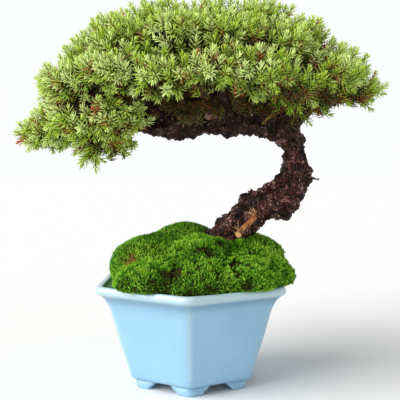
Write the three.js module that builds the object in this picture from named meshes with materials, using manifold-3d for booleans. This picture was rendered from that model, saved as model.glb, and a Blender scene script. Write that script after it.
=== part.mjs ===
// A bonsai: a windswept dwarf juniper on a mossy mound in a six-sided glazed pot.
// Millimetres, +Z up, the front faces -Y. The trunk leans to +X and its limb runs back to -X.
import * as THREE from "three";
import { mergeVertices } from "three/addons/utils/BufferGeometryUtils.js";
import Module from "manifold-3d";

const wasm = await Module();
wasm.setup();

// ---------------------------------------------------------------- driving dimensions

const CLEARANCE = 0.3; // gap left between pieces that touch

// Pot. Its radii run from the axis to a corner of the hexagon.
const POT_HEIGHT = 85;
const RIM_RADIUS = 86.6;
const NECK_RADIUS = 77;
const BELLY_RADIUS = 66;
const BELLY_HEIGHT = 38;
const BASE_RADIUS = 58.5;
const WALL = 5.5;
const FLOOR = 7;
const LIP_WIDTH = 6;
const LIP_DEPTH = 7;
const LIP_ROUNDING = 1.2;
const NECK_DEPTH = 9;
const NECK_WAIST = 4; // how far the neck draws in under its radius
const BASE_CURVE = 7.5;
const FLOOR_CURVE = 4;
const CORNER_ROUNDING = 0.14; // of the radius
const POT_TURN = THREE.MathUtils.degToRad(-2);
const DRAIN_RADIUS = 7.5;

// Bracket feet: what six low arches leave of a ring below the pot.
const FOOT_HEIGHT = 7.5;
const FOOT_RADIUS = 52;
const FOOT_THICKNESS = 6;
const ARCH_WIDTH = 29;
const ARCH_SHOULDER = 3.6;
const ARCH_STEP = 4; // from the end of the arch to the end of its shoulder
const ARCH_RISE = 5; // from there to the crown

// Plastic mesh over the drain hole and the wire staple that holds it.
const MESH_SIZE = 24;
const MESH_THICKNESS = 1;
const MESH_HOLES = 5;
const MESH_BAR = 1.2;
const WIRE_RADIUS = 0.6;
const STAPLE_FOOT = 5;

// Soil and moss.
const SOIL_DROP = 8; // from the rim down to the edge of the soil
const SOIL_MOUND = 30; // from the rim up to the top of the soil
const SOIL_SPREAD = 0.82; // of the lip's inner radius, how wide the mound of soil is
const DOME_STEPS = 5;
const MOUND_HEIGHT = 48; // from the rim up to the top of the moss
const MOUND_RADIUS = 80;
const MOSS_OVERHANG = 12; // how far moss may hang out over the rim

// Wood.
const TRUNK_LEAN = 86; // from the pot's axis out to the bend of the trunk
const LIMB_HEIGHT = 133; // from the rim up to the limb
const TRUNK_RADIUS = 15;
const BRANCH_RADIUS = 4.2;
const TWIG_RADIUS = 1.8;
const STUB_RADIUS = 3.2;
const ROOT_SPREAD = 0.75; // of the pot's inner radius at the floor
const ROOT_LIFT = 16; // of the root ends over the floor
const ROOT_GIRTHS = [10, 6, 2.5];

// Foliage.
const CANOPY_WIDTH = 307;
const CANOPY_DEPTH = 190;
const CANOPY_HEIGHT = 111; // from the underside of the limb to the topmost shoots
const CANOPY_SHIFT = 7.4; // how far the canopy's middle stands off the pot's axis
const CANOPY_BASE = LIMB_HEIGHT - 12;

// ---------------------------------------------------------------- solids

// A closed geometry as a manifold-3d solid with its faces turned outwards.
function solidOf(geometry) {
  const bare = geometry.index ? geometry.toNonIndexed() : geometry.clone();
  bare.deleteAttribute("normal");
  bare.deleteAttribute("uv");
  const merged = mergeVertices(bare, 1e-4);
  const faces = [];
  for (let i = 0; i < merged.index.count; i += 3) {
    const [a, b, c] = merged.index.array.slice(i, i + 3);
    if (a !== b && b !== c && c !== a) faces.push([a, b, c]);
  }
  const build = (turned) =>
    new wasm.Manifold(
      new wasm.Mesh({
        numProp: 3,
        vertProperties: merged.attributes.position.array,
        triVerts: new Uint32Array(faces.flatMap(([a, b, c]) => (turned ? [a, c, b] : [a, b, c]))),
      }),
    );
  const solid = build(false);
  return solid.volume() < 0 ? build(true) : solid;
}

// The biggest body of a solid: a cut can leave loose slivers beside it.
function mainBody(solid) {
  return solid.decompose().reduce((most, body) => (body.volume() > most.volume() ? body : most));
}

function geometryOf(solid) {
  const mesh = solid.getMesh();
  const geometry = new THREE.BufferGeometry();
  geometry.setAttribute("position", new THREE.BufferAttribute(mesh.vertProperties, mesh.numProp));
  geometry.setIndex(new THREE.BufferAttribute(mesh.triVerts, 1));
  geometry.computeVertexNormals();
  return geometry;
}

const bonsai = new THREE.Group();

function addPiece(name, solid, material) {
  const mesh = new THREE.Mesh(geometryOf(mainBody(solid)), material);
  mesh.name = name;
  bonsai.add(mesh);
}

// The half of space on the far side of a plane, as a block big enough for the whole bonsai.
const BLOCK = 2000;
function halfSpace(point, normal) {
  const block = new THREE.BoxGeometry(BLOCK, BLOCK, BLOCK);
  block.translate(0, 0, BLOCK / 2);
  block.applyQuaternion(
    new THREE.Quaternion().setFromUnitVectors(new THREE.Vector3(0, 0, 1), normal),
  );
  block.translate(point.x, point.y, point.z);
  return solidOf(block);
}

// Rounded clumps that press against each other: ellipsoids of one proportion, each cut flat
// where it meets a neighbour. Every clump has a centre and a size, both in units of scale.
function pressedClumps(clumps, scale, origin) {
  return clumps.map((clump, index) => {
    const ball = new THREE.IcosahedronGeometry(clump.size, 1);
    ball.translate(...clump.at);
    ball.scale(scale.x, scale.y, scale.z);
    ball.translate(origin.x, origin.y, origin.z);
    let solid = solidOf(ball);
    const here = new THREE.Vector3(...clump.at);
    clumps.forEach((other, otherIndex) => {
      const there = new THREE.Vector3(...other.at);
      const apart = there.clone().sub(here);
      const gap = apart.length();
      if (otherIndex === index || gap >= clump.size + other.size) return;
      const reach = (gap * gap + clump.size ** 2 - other.size ** 2) / (2 * gap);
      const meeting = apart.clone().setLength(reach).add(here).multiply(scale).add(origin);
      const normal = apart.divide(scale).normalize();
      meeting.addScaledVector(normal, -CLEARANCE / 2);
      solid = solid.subtract(halfSpace(meeting, normal));
    });
    return { name: clump.name, solid };
  });
}

// ---------------------------------------------------------------- pot

const CORNER_POINTS = 3;
const HEXAGON_POINTS = 6 * CORNER_POINTS;

// A point of the hexagon's outline for a corner radius of one, with one corner to the front.
function hexagonPoint(index) {
  const turn = Math.PI / 3;
  const corner = Math.floor(index / CORNER_POINTS) * turn - Math.PI / 2 + POT_TURN;
  const round = corner + ((index % CORNER_POINTS) / (CORNER_POINTS - 1) - 0.5) * turn;
  const centre = 1 - CORNER_ROUNDING / Math.cos(turn / 2);
  return new THREE.Vector2(
    centre * Math.cos(corner) + CORNER_ROUNDING * Math.cos(round),
    centre * Math.sin(corner) + CORNER_ROUNDING * Math.sin(round),
  );
}

// A lathe turning whose round is pressed into the pot's hexagon.
function hexagonalTurning(profile) {
  const points = profile.map(([radius, height]) => new THREE.Vector2(radius, height));
  const geometry = new THREE.LatheGeometry(points, HEXAGON_POINTS);
  const position = geometry.getAttribute("position");
  for (let i = 0; i <= HEXAGON_POINTS; i++) {
    const outline = hexagonPoint(i % HEXAGON_POINTS);
    points.forEach((point, j) => {
      const row = i * points.length + j;
      position.setXYZ(row, point.x * outline.x, point.x * outline.y, point.y);
    });
  }
  return solidOf(geometry);
}

const FLOOR_TOP = FOOT_HEIGHT + FLOOR;
const LIP_INNER = RIM_RADIUS - LIP_WIDTH;

// The wall inside the pot from the floor to the rim, drawn in by a clearance.
function innerWall(gap = 0) {
  return [
    [BASE_RADIUS - WALL - FLOOR_CURVE - gap, FLOOR_TOP + gap],
    [BASE_RADIUS - WALL - gap, FLOOR_TOP + FLOOR_CURVE],
    [BELLY_RADIUS - WALL - gap, BELLY_HEIGHT],
    [NECK_RADIUS - WALL - 0.75 * NECK_WAIST - gap, POT_HEIGHT - LIP_DEPTH - NECK_DEPTH],
    [NECK_RADIUS - WALL + 0.25 * NECK_WAIST - gap, POT_HEIGHT - LIP_DEPTH],
    [LIP_INNER - gap, POT_HEIGHT - 1],
  ];
}

function potBody() {
  return hexagonalTurning([
    [0, FOOT_HEIGHT],
    [BASE_RADIUS - BASE_CURVE, FOOT_HEIGHT],
    [BASE_RADIUS - BASE_CURVE / 4, FOOT_HEIGHT + BASE_CURVE / 3],
    [BASE_RADIUS, FOOT_HEIGHT + BASE_CURVE],
    [BELLY_RADIUS, BELLY_HEIGHT],
    [NECK_RADIUS - NECK_WAIST, POT_HEIGHT - LIP_DEPTH - NECK_DEPTH],
    [NECK_RADIUS - NECK_WAIST / 2, POT_HEIGHT - LIP_DEPTH - NECK_DEPTH / 3],
    [NECK_RADIUS + NECK_WAIST / 2, POT_HEIGHT - LIP_DEPTH],
    [RIM_RADIUS - LIP_ROUNDING, POT_HEIGHT - LIP_DEPTH * 0.6],
    [RIM_RADIUS, POT_HEIGHT - LIP_DEPTH * 0.35],
    [RIM_RADIUS - LIP_ROUNDING, POT_HEIGHT],
    [LIP_INNER + LIP_ROUNDING, POT_HEIGHT],
    ...innerWall().reverse(),
    [0, FLOOR_TOP],
  ]);
}

// One low arch with stepped shoulders, long enough to cut two opposite sides of the foot ring.
function archCut(angle) {
  const half = ARCH_WIDTH / 2;
  const shoulder = half - ARCH_STEP;
  const crown = shoulder - ARCH_RISE;
  const outline = new THREE.Shape();
  outline.moveTo(-half, -1);
  outline.quadraticCurveTo(1 - half, ARCH_SHOULDER, -shoulder, ARCH_SHOULDER);
  outline.quadraticCurveTo(1 - shoulder, FOOT_HEIGHT, -crown, FOOT_HEIGHT);
  outline.lineTo(crown, FOOT_HEIGHT);
  outline.quadraticCurveTo(shoulder - 1, FOOT_HEIGHT, shoulder, ARCH_SHOULDER);
  outline.quadraticCurveTo(half - 1, ARCH_SHOULDER, half, -1);
  const depth = 3 * FOOT_RADIUS;
  const geometry = new THREE.ExtrudeGeometry(outline, { depth, bevelEnabled: false, curveSegments: 3 });
  geometry.translate(0, 0, -depth / 2);
  geometry.rotateX(Math.PI / 2);
  geometry.rotateZ(angle);
  return solidOf(geometry);
}

function footRing() {
  const inner = FOOT_RADIUS - FOOT_THICKNESS;
  const top = FOOT_HEIGHT + 1;
  let ring = hexagonalTurning([
    [inner, 0],
    [FOOT_RADIUS - 1, 0],
    [FOOT_RADIUS, top],
    [inner, top],
    [inner, 0],
  ]);
  for (let side = 0; side < 3; side++) {
    ring = ring.subtract(archCut((side * Math.PI) / 3 + Math.PI / 6 + POT_TURN));
  }
  return ring;
}

function drainHole() {
  const hole = new THREE.CylinderGeometry(DRAIN_RADIUS, DRAIN_RADIUS, 4 * FLOOR, 16);
  hole.rotateX(Math.PI / 2);
  hole.translate(0, 0, FLOOR_TOP);
  return solidOf(hole);
}

// The room inside the pot and over its rim, which soil and moss may fill.
function potRoom() {
  const above = POT_HEIGHT + 2 * MOUND_HEIGHT;
  return hexagonalTurning([
    [0, FLOOR_TOP + CLEARANCE],
    ...innerWall(CLEARANCE),
    [LIP_INNER + 1.2 - CLEARANCE, POT_HEIGHT + CLEARANCE],
    [RIM_RADIUS + MOSS_OVERHANG, POT_HEIGHT + CLEARANCE],
    [RIM_RADIUS + MOSS_OVERHANG, above],
    [0, above],
  ]);
}

// ---------------------------------------------------------------- drainage mesh and staple

const MESH_BOTTOM = FLOOR_TOP + CLEARANCE;
const MESH_TOP = MESH_BOTTOM + MESH_THICKNESS;
const MESH_PITCH = (MESH_SIZE - MESH_BAR) / MESH_HOLES;

function meshSheet() {
  const slab = new THREE.BoxGeometry(MESH_SIZE, MESH_SIZE, MESH_THICKNESS);
  slab.translate(0, 0, MESH_BOTTOM + MESH_THICKNESS / 2);
  let sheet = solidOf(slab);
  const side = MESH_PITCH - MESH_BAR;
  const middle = (MESH_HOLES - 1) / 2;
  for (let row = 0; row < MESH_HOLES; row++) {
    for (let column = 0; column < MESH_HOLES; column++) {
      const hole = new THREE.BoxGeometry(side, side, 4 * MESH_THICKNESS);
      hole.translate((column - middle) * MESH_PITCH, (row - middle) * MESH_PITCH, MESH_TOP);
      sheet = sheet.subtract(solidOf(hole));
    }
  }
  return sheet;
}

// A bent wire: over the middle of the mesh, down through the drain hole, out under the floor.
function staple(extra = 0) {
  const leg = MESH_PITCH;
  const over = MESH_TOP + CLEARANCE + WIRE_RADIUS;
  const under = FOOT_HEIGHT - CLEARANCE - WIRE_RADIUS;
  const out = DRAIN_RADIUS + STAPLE_FOOT;
  const half = [
    [out, under],
    [leg + 2, under],
    [leg, under + 2],
    [leg, over - 1.5],
    [leg - 1.5, over],
  ];
  const path = new THREE.CatmullRomCurve3(
    [...half, ...half.map(([x, z]) => [-x, z]).reverse()].map(([x, z]) => new THREE.Vector3(x, 0, z)),
    false,
    "centripetal",
  );
  return limb(path, () => WIRE_RADIUS + extra, 5, 18, extra);
}

// ---------------------------------------------------------------- wood

// A length of wood or wire: a cylinder bent along a path, its radius given along the way.
function limb(path, radiusAt, sides, steps, extra = 0) {
  const frames = path.computeFrenetFrames(steps, false);
  const geometry = new THREE.CylinderGeometry(1, 1, 1, sides, steps);
  const position = geometry.getAttribute("position");
  for (let i = 0; i < position.count; i++) {
    const step = Math.round((0.5 - position.getY(i)) * steps);
    const along = step / steps;
    const angle = Math.atan2(position.getZ(i), position.getX(i));
    const radius = radiusAt(along, angle);
    const place = path.getPointAt(along);
    place.addScaledVector(frames.normals[step], position.getX(i) * radius);
    place.addScaledVector(frames.binormals[step], position.getZ(i) * radius);
    if (step === 0) place.addScaledVector(frames.tangents[step], -extra);
    if (step === steps) place.addScaledVector(frames.tangents[step], extra);
    position.setXYZ(i, place.x, place.y, place.z);
  }
  return solidOf(geometry);
}

// Wood that tapers: the girths belong to the points that its path runs through.
function taperedLimb(points, girths, sides, steps, extra, gnarl = 0) {
  const path = new THREE.CatmullRomCurve3(points, false, "centripetal");
  const radiusAt = (along, angle) => {
    const place = path.getUtoTmapping(along) * (girths.length - 1);
    const from = Math.min(Math.floor(place), girths.length - 2);
    const girth = THREE.MathUtils.lerp(girths[from], girths[from + 1], place - from);
    const lumps = Math.sin(2 * angle + 31 * along) + 0.7 * Math.sin(3 * angle - 47 * along);
    return girth * (1 + gnarl * lumps) + extra;
  };
  return limb(path, radiusAt, sides, steps, extra);
}

// The trunk and limb: across and up in units of the lean and the limb's height, back in
// millimetres, girth in units of the trunk's radius.
const TRUNK_ROUTE = [
  { across: 0.1, back: 6, up: -0.12, girth: 1.0 },
  { across: 0.17, back: 5, up: 0.06, girth: 1.2 },
  { across: 0.28, back: 3, up: 0.22, girth: 1.14 },
  { across: 0.45, back: 0, up: 0.345, girth: 1.0 },
  { across: 0.61, back: -3, up: 0.43, girth: 1.05 },
  { across: 0.78, back: -2, up: 0.475, girth: 1.04 },
  { across: 0.93, back: 0, up: 0.55, girth: 1.06 },
  { across: 1.005, back: 2, up: 0.65, girth: 0.86 },
  { across: 1.015, back: 3, up: 0.76, girth: 0.64 },
  { across: 0.98, back: 3, up: 0.83, girth: 0.66 },
  { across: 0.91, back: 2, up: 0.91, girth: 0.78 },
  { across: 0.8, back: 1, up: 0.97, girth: 0.88 },
  { across: 0.62, back: 0, up: 0.99, girth: 0.84 },
  { across: 0.38, back: -1, up: 0.98, girth: 0.8 },
  { across: 0.1, back: -2, up: 0.975, girth: 0.76 },
  { across: -0.2, back: -2, up: 0.975, girth: 0.72 },
  { across: -0.42, back: -4, up: 0.96, girth: 0.64 },
  { across: -0.68, back: -5, up: 0.98, girth: 0.42 },
  { across: -0.98, back: -3, up: 0.965, girth: 0.24 },
];

function trunkPoint({ across, back, up }) {
  return new THREE.Vector3(across * TRUNK_LEAN, back, POT_HEIGHT + up * LIMB_HEIGHT);
}

// A place in the canopy, in units of its half width, half depth and height.
function canopyPoint([across, back, up]) {
  return new THREE.Vector3(
    CANOPY_SHIFT + (across * CANOPY_WIDTH) / 2,
    (back * CANOPY_DEPTH) / 2,
    POT_HEIGHT + CANOPY_BASE + up * CANOPY_HEIGHT,
  );
}

// Main branches: where each leaves the trunk's route, then the canopy places it runs through.
const BRANCHES = [
  { from: 10, girth: 1.15, through: [[0.6, 0.0, 0.2], [0.78, 0.02, 0.36]] },
  { from: 11, girth: 1.1, through: [[0.5, -0.26, 0.22], [0.42, -0.54, 0.34], [0.34, -0.68, 0.38]] },
  { from: 11, girth: 1.0, through: [[0.46, 0.3, 0.24], [0.42, 0.58, 0.36]] },
  { from: 11, girth: 1.15, through: [[0.44, 0.02, 0.4], [0.38, 0.02, 0.68], [0.52, 0.02, 0.76]] },
  { from: 13, girth: 0.9, through: [[0.12, -0.32, 0.24], [0.05, -0.6, 0.36]] },
  { from: 13, girth: 0.9, through: [[0.18, 0.34, 0.24], [0.1, 0.62, 0.36]] },
  { from: 13, girth: 1.1, through: [[0.1, 0.0, 0.42], [0.04, 0.02, 0.72]] },
  { from: 15, girth: 0.9, through: [[-0.3, -0.28, 0.22], [-0.42, -0.56, 0.36]] },
  { from: 15, girth: 0.9, through: [[-0.3, 0.3, 0.22], [-0.44, 0.58, 0.35]] },
  { from: 14, girth: 1.1, through: [[-0.26, 0.02, 0.38], [-0.44, 0.03, 0.66]] },
  { from: 17, girth: 0.7, through: [[-0.66, -0.3, 0.12], [-0.66, -0.36, 0.3]] },
  { from: 17, girth: 0.7, through: [[-0.62, 0.04, 0.22], [-0.74, 0.06, 0.36]] },
];

function branchPoints({ from, through }) {
  return [trunkPoint(TRUNK_ROUTE[from]), ...through.map(canopyPoint)];
}

const ROOTS = [25, 90, 145, 200, 260, 320]; // degrees round the pot

// Every road that a twig can spring from, as points close together.
const FORKS = BRANCHES.flatMap((branch) =>
  new THREE.CatmullRomCurve3(branchPoints(branch), false, "centripetal").getPoints(16).slice(5),
).concat(
  new THREE.CatmullRomCurve3(TRUNK_ROUTE.slice(14).map(trunkPoint), false, "centripetal").getPoints(20),
);

// The twig that carries one pad of foliage, or nothing where a branch already runs into it.
function twigSolid(pad, extra) {
  const heart = canopyPoint(pad.at);
  const start = FORKS.reduce((best, fork) =>
    fork.distanceTo(heart) < best.distanceTo(heart) ? fork : best,
  );
  const span = heart.clone().sub(start);
  if (span.length() < (pad.size * CANOPY_WIDTH) / 4) return null;
  const middle = start.clone().addScaledVector(span, 0.5);
  middle.z -= 0.12 * span.length();
  return taperedLimb(
    [start, middle, heart],
    [TWIG_RADIUS * 1.4, TWIG_RADIUS, TWIG_RADIUS * 0.6],
    4,
    2,
    extra,
  );
}

// All that grew as one piece of wood, swollen by a clearance where something is to be cut by it.
function woodSolid(extra = 0) {
  const girths = TRUNK_ROUTE.map(({ girth }) => girth * TRUNK_RADIUS);
  let wood = taperedLimb(TRUNK_ROUTE.map(trunkPoint), girths, 9, 32, extra, 0.05);
  for (const branch of BRANCHES) {
    const points = branchPoints(branch);
    const girth = branch.girth * BRANCH_RADIUS;
    const taper = points.map((_, i) => girth * (1.25 - (0.7 * i) / (points.length - 1)));
    wood = wood.add(taperedLimb(points, taper, 5, 4, extra));
  }
  for (const pad of PADS) {
    const twig = twigSolid(pad, extra);
    if (twig) wood = wood.add(twig);
  }
  const foot = trunkPoint(TRUNK_ROUTE[1]);
  const ring = ROOT_SPREAD * (BASE_RADIUS - WALL);
  for (const degrees of ROOTS) {
    const angle = THREE.MathUtils.degToRad(degrees);
    const end = new THREE.Vector3(ring * Math.cos(angle), ring * Math.sin(angle), FLOOR_TOP + ROOT_LIFT);
    const knee = foot.clone().lerp(end, 0.6);
    knee.z += ROOT_LIFT / 2;
    wood = wood.add(taperedLimb([foot, knee, end], ROOT_GIRTHS, 5, 3, extra));
  }
  return wood.add(stubSolid(extra)).add(spurSolid(extra));
}

// The route of the sawn stub, in millimetres across, back and up from the front of the trunk.
const STUB_ROUTE = [
  [8, 4, 1],
  [-1, -1, -4],
  [-9, -3, -11],
  [-16, -4, -18],
];
const STUB_GIRTHS = [1, 1.05, 0.95, 1]; // of the stub's radius

// A dead side stem that lies against the front of the trunk and ends in a sawn face.
function stubSolid(extra) {
  const front = trunkPoint(TRUNK_ROUTE[4]);
  front.y -= TRUNK_RADIUS + 1;
  const points = STUB_ROUTE.map((step) => new THREE.Vector3(...step).add(front));
  const girths = STUB_GIRTHS.map((girth) => girth * STUB_RADIUS);
  return taperedLimb(points, girths, 7, 4, extra);
}

// The route of the dead spur from the middle of the bend, and its radii.
const SPUR_ROUTE = [
  [0, 0, 0],
  [12, -3, -2],
  [21, -5, -4],
];
const SPUR_GIRTHS = [2, 1.2, 0.6];

// A short dead spur on the outside of the bend.
function spurSolid(extra) {
  const bend = trunkPoint(TRUNK_ROUTE[7]);
  const points = SPUR_ROUTE.map((step) => new THREE.Vector3(...step).add(bend));
  return taperedLimb(points, SPUR_GIRTHS, 4, 2, extra);
}

// ---------------------------------------------------------------- soil and moss

// The shape of the soil's top, with more below and beside it than the pot has room for.
function mound(gap = 0) {
  const edge = POT_HEIGHT - SOIL_DROP;
  const rise = SOIL_MOUND + SOIL_DROP;
  const dome = [];
  for (let i = 0; i < DOME_STEPS; i++) {
    const turn = (i / DOME_STEPS) * (Math.PI / 2);
    dome.push([SOIL_SPREAD * LIP_INNER * Math.cos(turn) + gap, edge + rise * Math.sin(turn) + gap]);
  }
  dome.push([0, edge + rise + gap]);
  return hexagonalTurning([[0, 0], [RIM_RADIUS, 0], [RIM_RADIUS, edge + gap], ...dome]);
}

// Moss cushions: across, back and up in units of the mound's radius and height, as are sizes.
const MOSS_SCALE = new THREE.Vector3(MOUND_RADIUS, MOUND_RADIUS, 1.25 * MOUND_HEIGHT);
const MOSS = [
  { name: "moss_left_crown", at: [-0.4, -0.06, 0.18], size: 0.465 },
  { name: "moss_top_crown", at: [-0.07, 0.17, 0.36], size: 0.42 },
  { name: "moss_centre", at: [0.12, -0.28, 0.26], size: 0.39 },
  { name: "moss_right_crown", at: [0.6, 0.02, 0.25], size: 0.38 },
  { name: "moss_right_edge", at: [0.78, -0.2, 0.06], size: 0.27 },
  { name: "moss_front_left", at: [-0.4, -0.54, -0.03], size: 0.38 },
  { name: "moss_front_middle", at: [0.05, -0.62, 0.02], size: 0.37 },
  { name: "moss_front_right", at: [0.5, -0.46, 0.04], size: 0.36 },
  { name: "moss_back_left", at: [-0.44, 0.5, -0.02], size: 0.41 },
  { name: "moss_back_middle", at: [0.06, 0.62, 0.02], size: 0.42 },
  { name: "moss_back_right", at: [0.54, 0.5, 0.02], size: 0.39 },
];

// ---------------------------------------------------------------- foliage pads

// Pads of foliage: across, back and up as canopyPoint takes them, size in half widths.
const PADS = [
  { name: "pad_left_tip", at: [-0.8, -0.06, 0.03], size: 0.19 },
  { name: "pad_left_middle", at: [-0.73, 0.08, 0.36], size: 0.18 },
  { name: "pad_left_upper", at: [-0.57, 0.0, 0.56], size: 0.19 },
  { name: "pad_left_crest", at: [-0.45, 0.04, 0.75], size: 0.175 },
  { name: "pad_top_left", at: [-0.21, 0.0, 0.82], size: 0.2 },
  { name: "pad_top_middle", at: [0.06, 0.05, 0.825], size: 0.205 },
  { name: "pad_top_right", at: [0.31, 0.0, 0.82], size: 0.2 },
  { name: "pad_right_crest", at: [0.52, 0.03, 0.73], size: 0.17 },
  { name: "pad_right_upper", at: [0.73, -0.02, 0.51], size: 0.175 },
  { name: "pad_right_tip", at: [0.815, 0.04, 0.33], size: 0.185 },
  { name: "pad_right_low", at: [0.64, -0.14, 0.24], size: 0.165 },
  { name: "pad_front_left_low", at: [-0.61, -0.4, 0.07], size: 0.185 },
  { name: "pad_front_left_inner", at: [-0.44, -0.48, 0.09], size: 0.165 },
  { name: "pad_underside_left", at: [-0.46, -0.16, -0.06], size: 0.125 },
  { name: "pad_hanging_shoot", at: [-0.585, -0.22, -0.17], size: 0.08 },
  { name: "pad_front_left_middle", at: [-0.64, -0.48, 0.34], size: 0.18 },
  { name: "pad_front_left_upper", at: [-0.41, -0.63, 0.41], size: 0.185 },
  { name: "pad_front_centre_left", at: [-0.18, -0.72, 0.35], size: 0.185 },
  { name: "pad_front_centre", at: [0.06, -0.74, 0.38], size: 0.185 },
  { name: "pad_front_centre_right", at: [0.28, -0.7, 0.38], size: 0.185 },
  { name: "pad_front_right", at: [0.47, -0.53, 0.3], size: 0.185 },
  { name: "pad_front_right_outer", at: [0.66, -0.39, 0.4], size: 0.175 },
  { name: "pad_shoulder_front_left", at: [-0.39, -0.38, 0.63], size: 0.185 },
  { name: "pad_shoulder_front_centre", at: [-0.13, -0.45, 0.68], size: 0.185 },
  { name: "pad_shoulder_front_middle", at: [0.14, -0.46, 0.68], size: 0.185 },
  { name: "pad_shoulder_front_right", at: [0.4, -0.38, 0.62], size: 0.185 },
  { name: "pad_back_left_low", at: [-0.59, 0.42, 0.17], size: 0.18 },
  { name: "pad_back_left", at: [-0.43, 0.63, 0.36], size: 0.18 },
  { name: "pad_back_centre_left", at: [-0.17, 0.74, 0.36], size: 0.185 },
  { name: "pad_back_centre", at: [0.1, 0.75, 0.36], size: 0.185 },
  { name: "pad_back_right", at: [0.37, 0.65, 0.35], size: 0.185 },
  { name: "pad_back_right_outer", at: [0.6, 0.43, 0.36], size: 0.185 },
  { name: "pad_shoulder_back_left", at: [-0.37, 0.4, 0.61], size: 0.185 },
  { name: "pad_shoulder_back_centre", at: [-0.09, 0.46, 0.67], size: 0.185 },
  { name: "pad_shoulder_back_middle", at: [0.19, 0.46, 0.66], size: 0.185 },
  { name: "pad_shoulder_back_right", at: [0.46, 0.36, 0.6], size: 0.175 },
];
const PAD_SCALE = new THREE.Vector3(CANOPY_WIDTH / 2, 0.8 * CANOPY_DEPTH, 0.9 * CANOPY_HEIGHT);

// The pads' centres move from the canopy's own units to those that make every pad a sphere.
function padClumps() {
  const shape = new THREE.Vector3(1, CANOPY_DEPTH / 2 / PAD_SCALE.y, CANOPY_HEIGHT / PAD_SCALE.z);
  return PADS.map((pad) => ({
    ...pad,
    at: [pad.at[0], pad.at[1] * shape.y, pad.at[2] * shape.z],
  }));
}

// ---------------------------------------------------------------- the bonsai

const glaze = new THREE.MeshStandardMaterial({ color: 0x9fcdec, roughness: 0.25 });
const plastic = new THREE.MeshStandardMaterial({ color: 0x20241f, roughness: 0.7 });
const wire = new THREE.MeshStandardMaterial({ color: 0x8c5a3c, roughness: 0.4, metalness: 0.9 });
const earth = new THREE.MeshStandardMaterial({ color: 0x2c2018, roughness: 1 });
const bark = new THREE.MeshStandardMaterial({ color: 0x2b1d18, roughness: 0.95 });
const mossGreen = new THREE.MeshStandardMaterial({ color: 0x4f8a1c, roughness: 0.95 });
const needleGreen = new THREE.MeshStandardMaterial({ color: 0x8db54e, roughness: 0.8 });

addPiece("pot", potBody().add(footRing()).subtract(drainHole()), glaze);
addPiece("drainage_mesh", meshSheet(), plastic);
addPiece("mesh_staple", staple(), wire);

const grownWood = woodSolid(CLEARANCE);
const grownStaple = staple(CLEARANCE);
const meshRoom = new THREE.BoxGeometry(
  MESH_SIZE + 2 * CLEARANCE,
  MESH_SIZE + 2 * CLEARANCE,
  2 * (MESH_THICKNESS + CLEARANCE),
);
meshRoom.translate(0, 0, MESH_BOTTOM);
const soil = potRoom()
  .intersect(mound())
  .subtract(grownWood)
  .subtract(solidOf(meshRoom))
  .subtract(grownStaple);
addPiece("soil", soil, earth);
addPiece("trunk", woodSolid(), bark);

const mossRoom = potRoom().subtract(mound(CLEARANCE)).subtract(grownWood);
const rimCentre = new THREE.Vector3(0, 0, POT_HEIGHT);
for (const { name, solid } of pressedClumps(MOSS, MOSS_SCALE, rimCentre)) {
  addPiece(name, solid.intersect(mossRoom), mossGreen);
}

for (const { name, solid } of pressedClumps(padClumps(), PAD_SCALE, canopyPoint([0, 0, 0]))) {
  addPiece(name, solid.subtract(grownWood), needleGreen);
}

// The frame's origin is under the middle of everything, on the surface that the feet stand on.
const bounds = new THREE.Box3().setFromObject(bonsai);
bonsai.position.set(-(bounds.min.x + bounds.max.x) / 2, -(bounds.min.y + bounds.max.y) / 2, -bounds.min.z);

export default bonsai;
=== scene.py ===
import math
from itertools import product

import bpy
import numpy as np
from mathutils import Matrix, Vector, noise
from mathutils.bvhtree import BVHTree


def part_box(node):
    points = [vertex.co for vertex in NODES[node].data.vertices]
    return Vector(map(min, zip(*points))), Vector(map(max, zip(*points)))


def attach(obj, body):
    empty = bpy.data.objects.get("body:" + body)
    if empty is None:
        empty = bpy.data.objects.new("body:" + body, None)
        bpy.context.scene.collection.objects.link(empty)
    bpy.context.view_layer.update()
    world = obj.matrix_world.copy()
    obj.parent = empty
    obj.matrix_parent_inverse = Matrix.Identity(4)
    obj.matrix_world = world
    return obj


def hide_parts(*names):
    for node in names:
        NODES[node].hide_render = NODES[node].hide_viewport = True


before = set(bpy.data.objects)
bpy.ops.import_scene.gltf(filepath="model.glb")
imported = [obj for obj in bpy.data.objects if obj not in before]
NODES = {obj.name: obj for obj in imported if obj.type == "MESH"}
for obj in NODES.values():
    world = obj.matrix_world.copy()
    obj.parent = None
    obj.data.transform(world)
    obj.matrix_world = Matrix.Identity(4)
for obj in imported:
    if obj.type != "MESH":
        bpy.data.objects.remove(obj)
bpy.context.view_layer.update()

# A windswept dwarf juniper on a mossy mound in a six-sided glazed pot.
# Sizes are millimetres times MM, the front faces -Y and +Z is up.
MM = 0.001
POT_LOW, POT_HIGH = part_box("pot")
AXIS_X = (POT_LOW.x + POT_HIGH.x) / 2
AXIS_Y = (POT_LOW.y + POT_HIGH.y) / 2
RIM = POT_HIGH.z
PADS = sorted(name for name in NODES if name.startswith("pad_"))
CUSHIONS = sorted(name for name in NODES if name.startswith("moss_"))


def at_axis(across, back, up):
    """A point given in millimetres from the foot of the pot's axis."""
    return Vector((AXIS_X + across * MM, AXIS_Y + back * MM, up * MM))


# ---- camera, light and floor


def aim(obj, target):
    """Turns a camera or a lamp to look at a point."""
    obj.rotation_euler = (Vector(target) - obj.location).to_track_quat("-Z", "Y").to_euler()


def placed(name, data):
    """A new object in the scene."""
    obj = bpy.data.objects.new(name, data)
    bpy.context.scene.collection.objects.link(obj)
    return obj


def make_camera():
    """The photograph's view: level with the canopy, a little above the rim."""
    data = bpy.data.cameras.new("camera")
    data.lens = 67.05
    camera = placed("camera", data)
    camera.location = at_axis(0, -620, 186)
    aim(camera, at_axis(6.7, 0, 151))
    bpy.context.scene.camera = camera


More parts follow.
